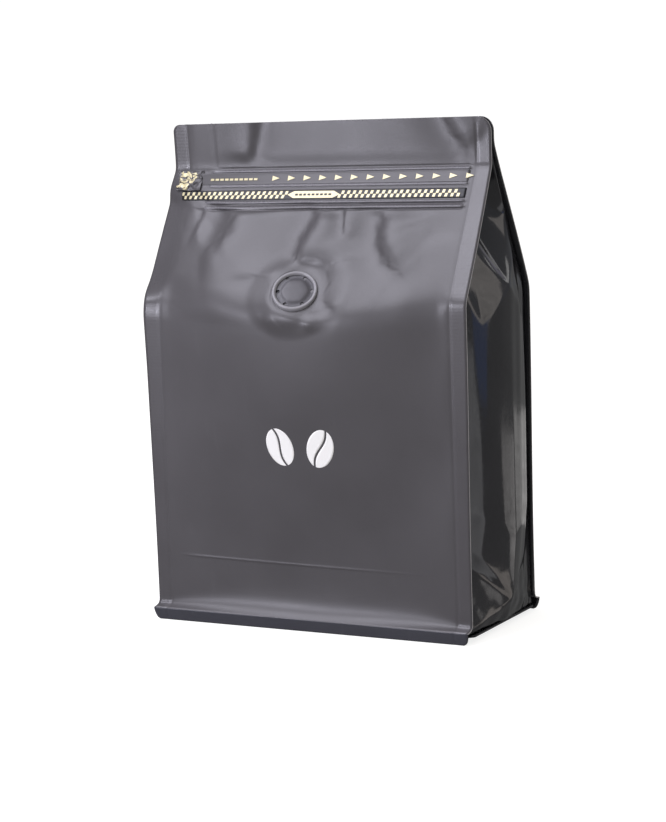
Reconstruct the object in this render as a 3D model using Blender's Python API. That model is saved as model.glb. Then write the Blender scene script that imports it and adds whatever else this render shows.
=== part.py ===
"""A flat-bottomed coffee bag, shut and filled, standing on its base.

Blender 4.5: blender --background --python part.py. Metres, +Z up, the bag's front faces -Y and
the origin is the middle of the base, on the surface that it stands on.

Five webs of film make the bag: a front and a back panel, two side gussets and a base. The gussets
enclose the contents, so they are one closed body here. The panels are sheets that reach past it
as side seals, as the header at the top and as a short skirt round the foot. On the front panel
lie the tear strip, its pull tab, the zip's rail and the one-way valve.
"""

import math

import bmesh
import bpy
from mathutils import Vector

# ---------------------------------------------------------------- driving dimensions, in metres
WIDTH = 0.130  # of a panel, over its side seals
DEPTH = 0.055  # over the panels' side edges
HEIGHT = 0.1837
FRONT_SHOULDER_Z = 0.1195  # above it the front panel leans in
BACK_SHOULDER_Z = 0.1222
FRONT_HEADER_Z = 0.1668  # above it the front panel is upright, in the header
BACK_HEADER_Z = 0.1745
CREASE_Z = 0.0033  # where the base's seam runs, behind the skirt below each panel

FILM = 0.0006  # thickness of a panel
GAP = 0.00035  # between films that touch
SEAL = 0.0055  # width of a side seal
HEADER_RADII = (0.0028, 0.0052)  # of the header's left and right corners
HEADER_HALF = 0.00125  # from the middle plane to a panel's outer face, in the header

SHOULDER_SOFT = 0.0018  # how gradually a panel bends at the shoulder
HEADER_SOFT = 0.0004  # and at the header
SHOULDER_WIDE = 0.0009  # how much wider half a panel is at the shoulder
HEM_Z = 0.0002  # height of the skirt's lower edge
LIP_Z = 0.0041  # the panel rolls out down to this height, and the skirt drops from it
LIP_TUCK = 0.25  # how much the skirt slants in, below that
SKIRT_OUT = 0.0042  # how far the lip stands out
SKIRT_ROLL = (0.0006, 0.0034)  # how softly the panel rolls out: at its sides, and more in its middle
SKIRT_CORNER = 0.0020  # length cut from the skirt's ends by its round corners

WALL_OUT = 0.0082  # how far the contents push the middle of a panel out, just under the shoulder
LEAN_OUT = 0.135  # and how much more steeply its middle leans in, above the shoulder
LEAN_OUT_Z = 0.1550  # up to there

RIDGE_X = 0.0704  # the gussets' middle creases, where they stand out furthest
VALLEY_X = 0.0350  # and where they are tucked in furthest, just under the header
FOOT_X = 0.0655  # the middle creases at the foot
FOOT_CORNER_X = 0.0640  # half the body's width at the foot, along the panels
FOOT_EASE_Z = 0.0140
BACK_SEAM_X = 0.0635  # the back seals fold round in line with the gussets, so these reach further out
BODY_TOP = 0.0006  # from the body's top edge, inside the header, up to the header's
BASE_X = 0.0650  # half the base's width
BASE_FLAT_X = 0.0570  # half the width of the part that it rests on
BASE_FLAT_Y = 0.0215
BASE_RIM_Z = 0.0022

VALVE_X = 0.0
VALVE_Z = 0.1240
VALVE_RADIUS = 0.0084
VALVE_TILT = math.radians(38)  # lean of the valve back from upright
VALVE_TURN = math.radians(12)  # and its turn towards the bag's right-hand side
VALVE_PAD = (0.0088, 0.0240)  # the panel is flat to the first radius and its own shape past the second
VALVE_HOLES = 6

TEAR_STRIP = (-0.0490, 0.0580, 0.1600, 0.1660)  # x from, x to, z from, z to
ZIP_RAIL = (-0.0605, 0.0575, 0.1556, 0.1587)
PULL_TAB = (-0.0636, -0.0525, 0.1594, 0.1662)

HALF_WIDTH = WIDTH / 2
HALF_DEPTH = DEPTH / 2
SEAL_X = HALF_WIDTH - SEAL


# ---------------------------------------------------------------- the panels' shape
def ramp(t, soft):
    """max(0, t), with its corner rounded over about two lengths of soft on each side."""
    return soft * math.log1p(math.exp(t / soft))


def ease(t, start, end):
    """0 before start, 1 after end, and smooth between them."""
    u = min(1.0, max(0.0, (t - start) / (end - start)))
    return u * u * (3 - 2 * u)


def smooth_least(a, b, soft):
    """The lesser of a and b, rounded where they cross."""
    return a - ramp(a - b, soft)


def skirt_out(x, z):
    """How far a panel stands out at the foot: it rolls out down to the lip, and drops from there."""
    roll = SKIRT_ROLL[0] + (SKIRT_ROLL[1] - SKIRT_ROLL[0]) * max(0.0, 1 - (x / SEAL_X) ** 2)
    return SKIRT_OUT * math.exp(-max(0.0, z - LIP_Z) / roll) - LIP_TUCK * max(0.0, LIP_Z - z)


def panel_depth(x, z, shoulder_z, header_z):
    """How far a panel's outer face lies from the bag's middle plane."""
    across = max(0.0, 1 - (x / SEAL_X) ** 2) ** 1.5
    wall = HALF_DEPTH + across * WALL_OUT * ease(z, CREASE_Z, shoulder_z)
    lean = (HALF_DEPTH - HEADER_HALF) / (header_z - shoulder_z)
    lean_in = HEADER_HALF + ramp(lean * (header_z - z), HEADER_SOFT)
    lean_in += across * LEAN_OUT * ramp(LEAN_OUT_Z - z, 0.004)
    return smooth_least(wall, lean_in, SHOULDER_SOFT) + skirt_out(x, z)


def back_depth(x, z):
    return panel_depth(x, z, BACK_SHOULDER_Z, BACK_HEADER_Z)


def filled_front(x, z):
    return panel_depth(x, z, FRONT_SHOULDER_Z, FRONT_HEADER_Z)


def valve_plane(x, z):
    """The depth of the flat that the valve lies on."""
    right, up = x - VALVE_X, z - VALVE_Z
    across = math.tan(VALVE_TURN) * right
    return filled_front(VALVE_X, VALVE_Z) - across - up * math.tan(VALVE_TILT) / math.cos(VALVE_TURN)


def front_depth(x, z):
    """As filled_front, with the flat that the valve lies on."""
    across = (x - VALVE_X) / math.cos(VALVE_TURN)
    along = (z - VALVE_Z) / math.cos(VALVE_TILT)
    pad = 1 - ease(math.hypot(across, along), *VALVE_PAD)
    return filled_front(x, z) * (1 - pad) + valve_plane(x, z) * pad


def under(depth, x, z, offset):
    """The depth of the face that lies offset below a panel's outer face, square to it."""
    step = 0.0005
    along_x = (depth(x + step, z) - depth(x - step, z)) / (2 * step)
    along_z = (depth(x, z + step) - depth(x, z - step)) / (2 * step)
    return depth(x, z) - offset * math.sqrt(1 + along_x**2 + along_z**2)


def inside_front(x, z):
    """The front panel's depth without its rolled-out foot, for the body behind it."""
    return front_depth(x, z) - skirt_out(x, z)


def inside_back(x, z):
    return back_depth(x, z) - skirt_out(x, z)


def panel_half_width(z, right):
    """Half the width of a panel at height z: its corners are round at the header and the skirt."""
    radius = HEADER_RADII[right]
    rise = max(0.0, z - (HEIGHT - radius))
    header_cut = radius - math.sqrt(max(0.0, radius**2 - rise**2))
    low = min(1.0, max(0.0, (LIP_Z - z) / (LIP_Z - HEM_Z)))
    skirt_cut = SKIRT_CORNER * (1 - math.sqrt(max(0.0, 1 - low**2)))
    wider = SHOULDER_WIDE * ease(z, 0.02, FRONT_SHOULDER_Z) * (1 - ease(z, 0.13, HEIGHT))
    return HALF_WIDTH + wider - header_cut - skirt_cut


# ---------------------------------------------------------------- making objects
def clear_scene():
    for obj in list(bpy.data.objects):
        bpy.data.objects.remove(obj, do_unlink=True)


def film_material(name, colour, roughness, metallic=0.0):
    material = bpy.data.materials.new(name)
    material.use_nodes = True
    shader = material.node_tree.nodes["Principled BSDF"]
    shader.inputs["Base Color"].default_value = (*colour, 1.0)
    shader.inputs["Roughness"].default_value = roughness
    shader.inputs["Metallic"].default_value = metallic
    material.diffuse_color = (*colour, 1.0)
    return material


def make_object(name, bm, material, smooth_angle=None):
    mesh = bpy.data.meshes.new(name)
    bm.to_mesh(mesh)
    bm.free()
    obj = bpy.data.objects.new(name, mesh)
    bpy.context.scene.collection.objects.link(obj)
    mesh.materials.append(material)
    if smooth_angle is not None:
        mesh.shade_smooth()
        mesh.set_sharp_from_angle(angle=smooth_angle)
    return obj


def solidify(obj, thickness, offset=-1.0):
    """Gives a sheet its thickness: offset -1 grows it under its face, and 1 above it."""
    modifier = obj.modifiers.new("Film", "SOLIDIFY")
    modifier.thickness = thickness
    modifier.offset = offset
    modifier.use_even_offset = True
    return modifier


def spread(start, end, longest):
    """Values from start to end, in even steps no longer than longest."""
    steps = max(1, math.ceil(abs(end - start) / longest - 1e-6))
    return [start + (end - start) * i / steps for i in range(steps + 1)]


def merged(*runs):
    """One rising list from several that share their end values."""
    return sorted({round(value, 6) for run in runs for value in run})


def fill_grid(bm, grid, forward):
    """Faces between the rows and columns of a grid of vertices."""
    for low, high in zip(grid, grid[1:]):
        for i in range(len(low) - 1):
            corners = (low[i], low[i + 1], high[i + 1], high[i])
            bm.faces.new(corners if forward else corners[::-1])


def sheet(columns, rows, point, front):
    """A grid of faces over columns and rows, facing out of the bag's front or back."""
    bm = bmesh.new()
    grid = [[bm.verts.new(point(u, z)) for u in columns] for z in rows]
    fill_grid(bm, grid, front)
    return bm


# ---------------------------------------------------------------- heights that the films share
FOOT_ROWS = [HEM_Z, 0.0006, 0.0015, CREASE_Z, LIP_Z, 0.0052, 0.0070, 0.0100, FOOT_EASE_Z]
WALL_ROWS = spread(FOOT_EASE_Z, 0.100, 0.0220)
SHOULDER_ROWS = spread(0.100, 0.1500, 0.0030)
SLOPE_ROWS = spread(0.1500, 0.1640, 0.0070) + [0.1655, FRONT_HEADER_Z, 0.1681, 0.1705]
HEADER_ROWS = [0.1732, BACK_HEADER_Z, 0.1758, HEIGHT - HEADER_RADII[1]] + [
    HEIGHT - HEADER_RADII[1] * (1 - math.sin(math.radians(a))) for a in (28, 50, 68, 80, 90)
]
PANEL_ROWS = merged(FOOT_ROWS, WALL_ROWS, SHOULDER_ROWS, SLOPE_ROWS, HEADER_ROWS)


# ---------------------------------------------------------------- the pieces
def make_panel(name, depth, columns, front, material):
    """A front or back panel, from the skirt's hem to the header's top edge."""
    side = -1 if front else 1

    def point(x, z):
        squeezed = x * panel_half_width(z, x > 0) / HALF_WIDTH
        return Vector((squeezed, side * depth(x, z), z))

    panel = make_object(name, sheet(columns, PANEL_ROWS, point, front), material, math.radians(35))
    solidify(panel, FILM)
    return panel


# The folds of a gusset, which fan out from its middle crease to its seams with the panels. Each is
# the crease's (height, reach), the height where the fold meets the seams, and how full the film is
# along it: 0 for a straight fold and 1 for a plump curve.
FOLDS = [
    (CREASE_Z, FOOT_X, CREASE_Z, 0.0),
    (0.0108, 0.0682, CREASE_Z, 0.0),
    (0.0110, 0.0682, 0.0293, 0.2),
    (0.0118, 0.0685, 0.0380, 0.9),
    (0.0340, RIDGE_X, 0.0500, 1.0),
    (0.0900, RIDGE_X, 0.0900, 1.0),
    (0.1130, RIDGE_X, 0.1130, 1.0),
    (0.1244, RIDGE_X, 0.1310, 0.0),
    (0.1432, 0.0575, 0.1460, 0.0),
    (0.1530, 0.0505, 0.1535, 0.0),
    (0.1665, VALLEY_X, 0.1650, 0.0),
    (0.1758, 0.0585, 0.1758, 0.0),
    (HEIGHT - BODY_TOP, 0.0588, HEIGHT - BODY_TOP, 0.0),
]
GUSSET_SHARES = (1.0, 0.66, 0.33, 0.0)  # where the gusset's columns lie, from a seam to the crease


def body_levels():
    """The fold through each of the body's rows, between the folds that are named above."""
    levels = []
    for low, high in zip(FOLDS, FOLDS[1:]):
        levels.append(low)
        for z in PANEL_ROWS:
            if low[2] + 1e-6 < z < high[2] - 1e-6:
                share = (z - low[2]) / (high[2] - low[2])
                levels.append(tuple(a + (b - a) * share for a, b in zip(low, high)))
    return levels + [FOLDS[-1]]


def seam_x(z, back):
    """Half the body's width along its seam with the front or the back panel."""
    reach = min(BACK_SEAM_X, panel_half_width(z, True) - 0.0013) if back else SEAL_X
    return reach + (FOOT_CORNER_X - reach) * (1 - ease(z, 0.0, FOOT_EASE_Z))


def make_body(front_columns, back_columns, material):
    """Both gussets and what they enclose: one closed body between the panels, on the base."""
    bm = bmesh.new()
    levels = body_levels()
    below = FILM + GAP

    def face_grid(depth, columns, side):
        grid = []
        for _, _, z, _ in levels:
            if side < 0:
                xs = [x * seam_x(z, False) / SEAL_X for x in columns[1:-1]]
                ys = [side * under(depth, x, z, below) for x in columns[1:-1]]
            else:
                xs = [-seam_x(z, True)] + columns[1:-1] + [seam_x(z, True)]
                ys = [side * under(depth, x, z, below) for x in xs]
            grid.append([bm.verts.new((x, y, z)) for x, y in zip(xs, ys)])
        fill_grid(bm, grid, side < 0)
        return grid

    def gusset_half(seam, crease, depth, side, end):
        """The film between one seam and the middle crease, as columns of vertices."""
        grid = []
        for (crease_z, crease_x, z, full), at_seam, at_crease in zip(levels, seam, crease):
            row = [at_seam]
            for share in GUSSET_SHARES[1:-1]:
                bent = share * (1 - full) + (0.12 * share + 0.88 * share**2) * full
                x = (1 - bent) * crease_x + bent * seam_x(z, side > 0)
                height = (1 - share) * crease_z + share * z
                y = side * share * under(depth, SEAL_X, height, below)
                row.append(bm.verts.new((end * x, y, height)))
            grid.append(row + [at_crease])
        fill_grid(bm, grid, side * end < 0)
        return grid

    front = face_grid(inside_front, front_columns, -1)
    back = face_grid(inside_back, back_columns, 1)
    halves = {}
    for end in (-1, 1):
        column = -1 if end > 0 else 0
        crease = [bm.verts.new((end * x, 0.0, z)) for z, x, _, _ in levels]
        halves[-1, end] = gusset_half([row[column] for row in front], crease, inside_front, -1, end)
        halves[1, end] = gusset_half([row[column] for row in back], crease, inside_back, 1, end)

    # The two ends that the rows leave open: the foot, and the top edge inside the header.
    for row in (0, -1):
        right = [halves[side, 1][row] for side in (-1, 1)]
        left = [halves[side, -1][row] for side in (-1, 1)]
        ring = front[row] + right[0][1:] + right[1][1:-1][::-1] + back[row][::-1]
        ring += left[1][1:] + left[0][1:-1][::-1]
        bm.faces.new(ring)
    bmesh.ops.remove_doubles(bm, verts=bm.verts, dist=1e-6)
    bmesh.ops.dissolve_degenerate(bm, edges=bm.edges, dist=1e-7)
    bmesh.ops.recalc_face_normals(bm, faces=bm.faces)
    bmesh.ops.triangulate(bm, faces=[face for face in bm.faces if len(face.verts) == 4])
    return make_object("bag_body", bm, material, math.radians(12))


def rounded_ring(bm, half_x, half_y, radius, z):
    """A closed ring of vertices round a rectangle with round corners."""
    ring = []
    for turn, (sx, sy) in enumerate(((1, 1), (-1, 1), (-1, -1), (1, -1))):
        for step in range(5):
            angle = math.radians(90 * turn + 22.5 * step)
            x = sx * (half_x - radius) + radius * math.cos(angle)
            y = sy * (half_y - radius) + radius * math.sin(angle)
            ring.append(bm.verts.new((x, y, z)))
    return ring


def make_base(material):
    """The base: flat where it rests, and rising round it to the seams with the other films."""
    half_y = HALF_DEPTH - FILM - 0.0004
    bm = bmesh.new()
    rings = [
        rounded_ring(bm, BASE_FLAT_X, BASE_FLAT_Y, 0.0060, 0.0),
        rounded_ring(bm, (BASE_FLAT_X + BASE_X) / 2, (BASE_FLAT_Y + half_y) / 2, 0.0045, 0.0007),
        rounded_ring(bm, BASE_X, half_y, 0.0015, BASE_RIM_Z),
        rounded_ring(bm, BASE_X, half_y, 0.0015, CREASE_Z - GAP),
    ]
    for low, high in zip(rings, rings[1:]):
        for i in range(len(low)):
            after = (i + 1) % len(low)
            bm.faces.new((low[i], low[after], high[after], high[i]))
    bm.faces.new(rings[0][::-1])
    bm.faces.new(rings[-1])
    return make_object("base_panel", bm, material, math.radians(25))


def make_strip(name, extent, lift, thickness, longest, material, bevel=0.0):
    """A flat piece that lies on the front panel, lift above it, over an extent in x and z."""
    x_from, x_to, z_from, z_to = extent

    def point(x, z):
        return Vector((x, -under(front_depth, x, z, -lift), z))

    bm = sheet(spread(x_from, x_to, longest), spread(z_from, z_to, 0.0016), point, True)
    strip = make_object(name, bm, material)
    solidify(strip, thickness, 1.0)
    if bevel:
        modifier = strip.modifiers.new("Soft edge", "BEVEL")
        modifier.width = bevel
        modifier.segments = 1
        modifier.limit_method = "ANGLE"
        modifier.angle_limit = math.radians(50)
    return strip


def make_valve(material):
    """The one-way valve: a raised rim, a sunk floor with small holes and a low middle boss."""
    profile = [  # (radius, height), from the middle of the top out and round to the underside
        (0.0, 0.00075),
        (0.0046, 0.00065),
        (0.0054, 0.00030),
        (0.0067, 0.00025),
        (0.0071, 0.00095),
        (0.0078, 0.00115),
        (VALVE_RADIUS, 0.00070),
        (VALVE_RADIUS, 0.0),
        (0.0, 0.0),
    ]
    bm = bmesh.new()
    ring = [bm.verts.new((radius, 0.0, height)) for radius, height in profile]
    edges = [bm.edges.new(pair) for pair in zip(ring, ring[1:])]
    bmesh.ops.spin(
        bm, geom=ring + edges, cent=(0, 0, 0), axis=(0, 0, 1), angle=math.tau, steps=36, use_merge=True
    )
    bmesh.ops.remove_doubles(bm, verts=bm.verts, dist=1e-6)
    bmesh.ops.recalc_face_normals(bm, faces=bm.faces)
    valve = make_object("valve", bm, material, math.radians(40))

    holes = bmesh.new()
    for i in range(VALVE_HOLES):
        angle = math.tau * i / VALVE_HOLES
        hole = bmesh.ops.create_cone(
            holes, cap_ends=True, segments=10, radius1=0.00045, radius2=0.00045, depth=0.004
        )
        away = Vector((0.00605 * math.cos(angle), 0.00605 * math.sin(angle), 0.0))
        bmesh.ops.translate(holes, verts=hole["verts"], vec=away)
    cutter = make_object("valve_holes_cutter", holes, material)
    cutter.hide_render = True
    cutter.display_type = "WIRE"
    cutter.parent = valve
    cut = valve.modifiers.new("Holes", "BOOLEAN")
    cut.operation = "DIFFERENCE"
    cut.object = cutter

    valve.rotation_euler = (math.pi / 2 - VALVE_TILT, 0.0, VALVE_TURN)
    outward = valve.rotation_euler.to_matrix() @ Vector((0.0, 0.0, 1.0))
    seat = Vector((VALVE_X, -filled_front(VALVE_X, VALVE_Z), VALVE_Z))
    valve.location = seat + outward * GAP
    return valve


def build():
    clear_scene()
    matte = film_material("matte_charcoal_film", (0.085, 0.082, 0.088), 0.50)
    gloss = film_material("gloss_black_film", (0.012, 0.012, 0.014), 0.10)
    moulded = film_material("charcoal_valve", (0.095, 0.092, 0.100), 0.40)
    gilt = film_material("gold_print", (0.70, 0.60, 0.33), 0.35, 0.3)

    side_columns = merged([-HALF_WIDTH, -SEAL_X], spread(-SEAL_X, -0.0240, 0.0120))
    middle_columns = spread(-0.0240, 0.0240, 0.0040)
    front_columns = merged(side_columns, middle_columns, [-x for x in side_columns])
    back_columns = merged([-HALF_WIDTH, HALF_WIDTH], spread(-SEAL_X, SEAL_X, 0.0120))

    make_panel("front_panel", front_depth, front_columns, True, matte)
    make_panel("back_panel", back_depth, back_columns, False, matte)
    make_body(front_columns, back_columns, gloss)
    make_base(gloss)
    make_strip("tear_strip", TEAR_STRIP, GAP, 0.0004, 0.0400, matte)
    make_strip("zip_rail", ZIP_RAIL, GAP, 0.0007, 0.0400, gilt)
    make_strip("pull_tab", PULL_TAB, GAP, 0.0006, 0.0060, gilt)
    make_valve(moulded)


build()
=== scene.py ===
"""The looks of a shut, filled coffee bag: matte film, glossy side gussets, gold print and a valve.

Metres, +Z up. The bag stands on the floor at z = 0 and its front faces -Y. Every film is a sheet that
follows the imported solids, with the folds, dents and pressed lines that a real filled bag has.
"""

import math

import bmesh
import bpy
import numpy as np
from mathutils import Matrix, Vector


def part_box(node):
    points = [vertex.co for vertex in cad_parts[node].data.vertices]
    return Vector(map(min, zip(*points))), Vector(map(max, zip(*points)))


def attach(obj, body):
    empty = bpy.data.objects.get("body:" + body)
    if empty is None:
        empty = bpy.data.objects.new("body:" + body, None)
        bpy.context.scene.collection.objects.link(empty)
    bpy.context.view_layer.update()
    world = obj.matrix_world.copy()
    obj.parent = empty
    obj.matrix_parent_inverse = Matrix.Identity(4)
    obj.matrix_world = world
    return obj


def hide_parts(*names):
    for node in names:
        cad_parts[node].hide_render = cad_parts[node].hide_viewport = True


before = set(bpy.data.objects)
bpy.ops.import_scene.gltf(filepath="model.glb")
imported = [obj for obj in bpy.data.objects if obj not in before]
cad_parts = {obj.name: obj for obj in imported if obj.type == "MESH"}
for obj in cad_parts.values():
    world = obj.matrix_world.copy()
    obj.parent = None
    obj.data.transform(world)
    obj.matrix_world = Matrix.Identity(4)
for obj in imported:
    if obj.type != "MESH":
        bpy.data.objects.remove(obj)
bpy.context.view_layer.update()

MM = 0.001
RNG = np.random.default_rng(7)

# ---------------------------------------------------------------- sizes that the frame gives
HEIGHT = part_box("front_panel")[1].z
HALF_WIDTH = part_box("base_panel")[1].x
SEAL = 5.5 * MM  # width of a side seal
SEAL_X = HALF_WIDTH - SEAL
HALF_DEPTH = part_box("base_panel")[1].y + 1.0 * MM
SHOULDER_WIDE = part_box("front_panel")[1].x - HALF_WIDTH
CREASE_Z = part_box("bag_body")[0].z  # the fold between a panel and its skirt
RIDGE_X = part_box("bag_body")[1].x  # how far out the gussets' middle creases stand

# ---------------------------------------------------------------- the panels' shape
FRONT_SHOULDER_Z = 120.6 * MM
BACK_SHOULDER_Z = 122.2 * MM
FRONT_HEADER_Z = 166.8 * MM
BACK_HEADER_Z = 174.5 * MM
HEADER_HALF = 1.25 * MM
HEADER_BACK = 0.05  # how much the header leans back
LEFT_FORWARD = 0.12  # how much its left third curls forward again
HEADER_RADII = (2.8 * MM, 5.2 * MM)  # of the header's left and right corners
SHOULDER_SOFT = (0.6 * MM, 1.5 * MM)  # how gradually a panel bends there: at its seals, and between them
LEFT_WIDER = 0.4 * MM
TWIST = (0.46, 0.04)  # how far each side seal turns back, on the left and on the right
HEADER_SOFT = 0.35 * MM
HEM_Z = 0.2 * MM
LIP_Z = 4.7 * MM  # the hem's lip: below it the skirt drops and tucks under a little
LIP_TUCK = 0.25
SKIRT_OUT = 4.2 * MM
SKIRT_ROLL = (0.6 * MM, 3.4 * MM)  # how softly a panel rolls out: at its sides, and more in its middle
SKIRT_CORNER = 2.0 * MM
WALL_OUT = 8.2 * MM
LEAN_OUT = 0.135
LEAN_OUT_Z = 155 * MM

VALVE_X = 0.0
VALVE_Z = 124.0 * MM
VALVE_RADIUS = 8.4 * MM
VALVE_TILT = math.radians(39)
VALVE_TURN = math.radians(18)
VALVE_PAD = (8.8 * MM, 22.0 * MM)
PAD_PUSH = 2.2 * MM  # the most that the flat under the valve pushes the film out of its own shape

FILM = 0.45 * MM
GAP = 0.3 * MM


def ramp(t, soft):
    """max(0, t), with its corner rounded."""
    return soft * np.logaddexp(0.0, t / soft)


def ease(t, start, end):
    """0 before start, 1 after end, and smooth between them."""
    u = np.clip((t - start) / (end - start), 0.0, 1.0)
    return u * u * (3 - 2 * u)


def bell(t, width):
    return np.exp(-((t / width) ** 2))


def skirt_out(x, z):
    """How far a panel flares out at the foot: it rolls out softly above its hem and drops from there."""
    roll = SKIRT_ROLL[0] + (SKIRT_ROLL[1] - SKIRT_ROLL[0]) * np.maximum(0.0, 1 - (x / SEAL_X) ** 2)
    flare = np.exp(-np.maximum(0.0, z - LIP_Z) / roll)
    return SKIRT_OUT * flare - LIP_TUCK * np.maximum(0.0, LIP_Z - z)


def panel_depth(x, z, shoulder_z, header_z):
    """How far a filled panel's outer face lies from the bag's middle plane."""
    across = np.maximum(0.0, 1 - (x / SEAL_X) ** 2) ** 1.5
    wall = HALF_DEPTH + across * WALL_OUT * ease(z, CREASE_Z, shoulder_z)
    lean = (HALF_DEPTH - HEADER_HALF) / (header_z - shoulder_z)
    lean_in = HEADER_HALF + ramp(lean * (header_z - z), HEADER_SOFT)
    lean_in = lean_in + across * LEAN_OUT * ramp(LEAN_OUT_Z - z, 4 * MM)
    between = 1 - ease(np.abs(x), SEAL_X - 5 * MM, SEAL_X)
    soft = SHOULDER_SOFT[0] + (SHOULDER_SOFT[1] - SHOULDER_SOFT[0]) * between
    return wall - ramp(wall - lean_in, soft) + skirt_out(x, z)


def on_slope(z):
    """1 up the front's slope, above its shoulder, and 0 elsewhere."""
    return ease(z, 119 * MM, 127 * MM) * (1 - ease(z, 154 * MM, 168 * MM))


def half_width(z, right=True):
    """Half the width of a panel, with its corners rounded at the header and the skirt."""
    radius = np.where(right, HEADER_RADII[1], HEADER_RADII[0])
    rise = np.clip(z - (HEIGHT - radius), 0.0, radius)
    header_cut = radius - np.sqrt(radius**2 - rise**2)
    low = np.clip((LIP_Z - z) / (LIP_Z - HEM_Z), 0.0, 1.0)
    skirt_cut = SKIRT_CORNER * (1 - np.sqrt(1 - low**2))
    wider = SHOULDER_WIDE * ease(z, 20 * MM, FRONT_SHOULDER_Z) * (1 - ease(z, 130 * MM, HEIGHT))
    wider = wider + np.where(right, 0.0, LEFT_WIDER) * ease(z, 90 * MM, FRONT_SHOULDER_Z)
    wider = wider + np.where(right, 0.0, 0.55 * (SEAL * TWIST[0] + 2.2 * MM)) * on_slope(z)
    return HALF_WIDTH + wider - header_cut - skirt_cut


# ---------------------------------------------------------------- folds, dents and pressed lines
def along_path(x, z, path):
    """For each place: how far it is from a path, where along it from 0 to 1, and how far to its left."""
    points = np.array(path, float) * MM
    steps = np.hypot(*(points[1:] - points[:-1]).T)
    starts = np.concatenate([[0.0], np.cumsum(steps)])
    aways, places, sides = [], [], []
    for start, a, b in zip(starts, points, points[1:]):
        run = b - a
        share = ((x - a[0]) * run[0] + (z - a[1]) * run[1]) / (run @ run)
        share = np.clip(share, 0.0, 1.0)
        away = np.hypot(x - a[0] - share * run[0], z - a[1] - share * run[1])
        aways.append(away)
        places.append((start + share * math.hypot(*run)) / starts[-1])
        sides.append(away * np.sign(run[0] * (z - a[1]) - run[1] * (x - a[0])))
    aways = np.array(aways)
    nearest = aways.min(axis=0)
    weights = np.exp((nearest - aways) / (1.2 * MM))
    weights = weights / weights.sum(axis=0)
    return nearest, (weights * np.array(places)).sum(axis=0), (weights * np.array(sides)).sum(axis=0)


def faded(place, fades):
    """1 along a path, and less over the share of it that fades out at each end."""
    strength = np.ones(np.shape(place))
    if fades[0]:
        strength = strength * ease(place, 0.0, fades[0])
    if fades[1]:
        strength = strength * (1 - ease(place, 1 - fades[1], 1.0))
    return strength


def furrow(x, z, path, width, depth, fades):
    """A soft furrow along a path, or a ridge where depth is negative."""
    away, place, _ = along_path(x, z, path)
    return -depth * MM * bell(away, width * MM) * faded(place, fades)


def fold_step(x, z, path, width, height, reach, fades):
    """Film that stands height further out on the left of a path, and comes level again over reach."""
    away, place, left = along_path(x, z, path)
    rise = np.tanh(left / (width * MM)) * bell(away, reach * MM)
    return 0.5 * height * MM * rise * faded(place, fades)


# Soft folds in the filled front: a path in millimetres, how wide the step across it is, how high it
# is, how far off the film is level again, and how much of each end fades out.
FRONT_STEPS = [
    ([(1.6, 153.5), (-0.4, 147), (-2.6, 142), (-3.4, 137), (-2.8, 131.0)], 3.6, 4.0, 10, (0.25, 0.25)),
    ([(29.0, 153.5), (27.6, 146), (28.6, 141), (32, 136), (38, 131), (47, 127)], 4.2, 4.4, 12, (0.22, 0.60)),
    ([(10.4, 153.4), (11.8, 148.5), (12.6, 145.5), (13.4, 141)], 2.2, 1.8, 6, (0.25, 0.45)),
    ([(-48.9, 152.6), (-49.6, 147), (-52.5, 138)], 0.6, 0.8, 5, (0.08, 0.50)),
    ([(-35, 154), (-36, 146), (-40, 141), (-47, 138)], 6.5, 5.0, 14, (0.20, 0.45)),
    ([(-47, 160), (-48, 145), (-50, 112)], 13.0, 6.0, 30, (0.22, 0.30)),
    ([(-57.0, 158), (-57.5, 145), (-60.0, 122)], 4.5, 2.2, 13, (0.15, 0.25)),
    ([(-31, 128.6), (-16, 129.0), (-9.3, 127.7)], 1.5, 0.6, 6, (0.40, 0.10)),
    ([(24, 136.5), (14.9, 134.3), (9, 131)], 1.4, 0.6, 5, (0.50, 0.10)),
    ([(9.5, 123), (14, 119.8), (21, 116.8)], 1.8, 1.0, 6, (0.10, 0.50)),
    ([(6.0, 117.5), (7.0, 109)], 1.8, 1.1, 6, (0.15, 0.60)),
    ([(-7, 117.5), (-12, 113.5)], 1.6, 0.6, 6, (0.20, 0.60)),
    ([(58, 143.4), (44, 140.4)], 1.8, 0.6, 7, (0.30, 0.40)),
    ([(-33.4, 168), (-31.2, 177), (-30, 185)], 2.0, 1.3, 7, (0.30, 0.0)),
    ([(46, 187), (50, 180), (54, 175.5), (60, 172)], 3.8, 2.6, 10, (0.0, 0.40)),
    ([(-60, 170.0), (60, 170.0)], 2.8, 0.6, 8, (0.25, 0.03)),
]
# The pinch round the valve's left half, where the film is drawn in under its rim.
VALVE_PINCH = [
    (8.95 * math.cos(turn) * math.cos(VALVE_TURN), 124 + 8.95 * math.sin(turn) * math.cos(VALVE_TILT))
    for turn in np.radians(np.arange(85, 261, 12))
]
# Furrows and the lines that the seals press into the film: a path, a width and a depth.
FRONT_FURROWS = [
    (VALVE_PINCH, 0.5, 0.40, (0.3, 0.3)),
    ([(-56, 24.8), (-20, 24.4), (54, 23.6)], 0.35, -0.16, (0.1, 0.5)),
    ([(-48.0, 184), (-47.6, 168)], 0.4, 0.20, (0.0, 0.0)),
    ([(-46.6, 184), (-46.4, 168)], 0.5, -0.16, (0.0, 0.0)),
    ([(57.6, 184), (57.8, 167.5)], 0.35, 0.15, (0.5, 0.0)),
]
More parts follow.
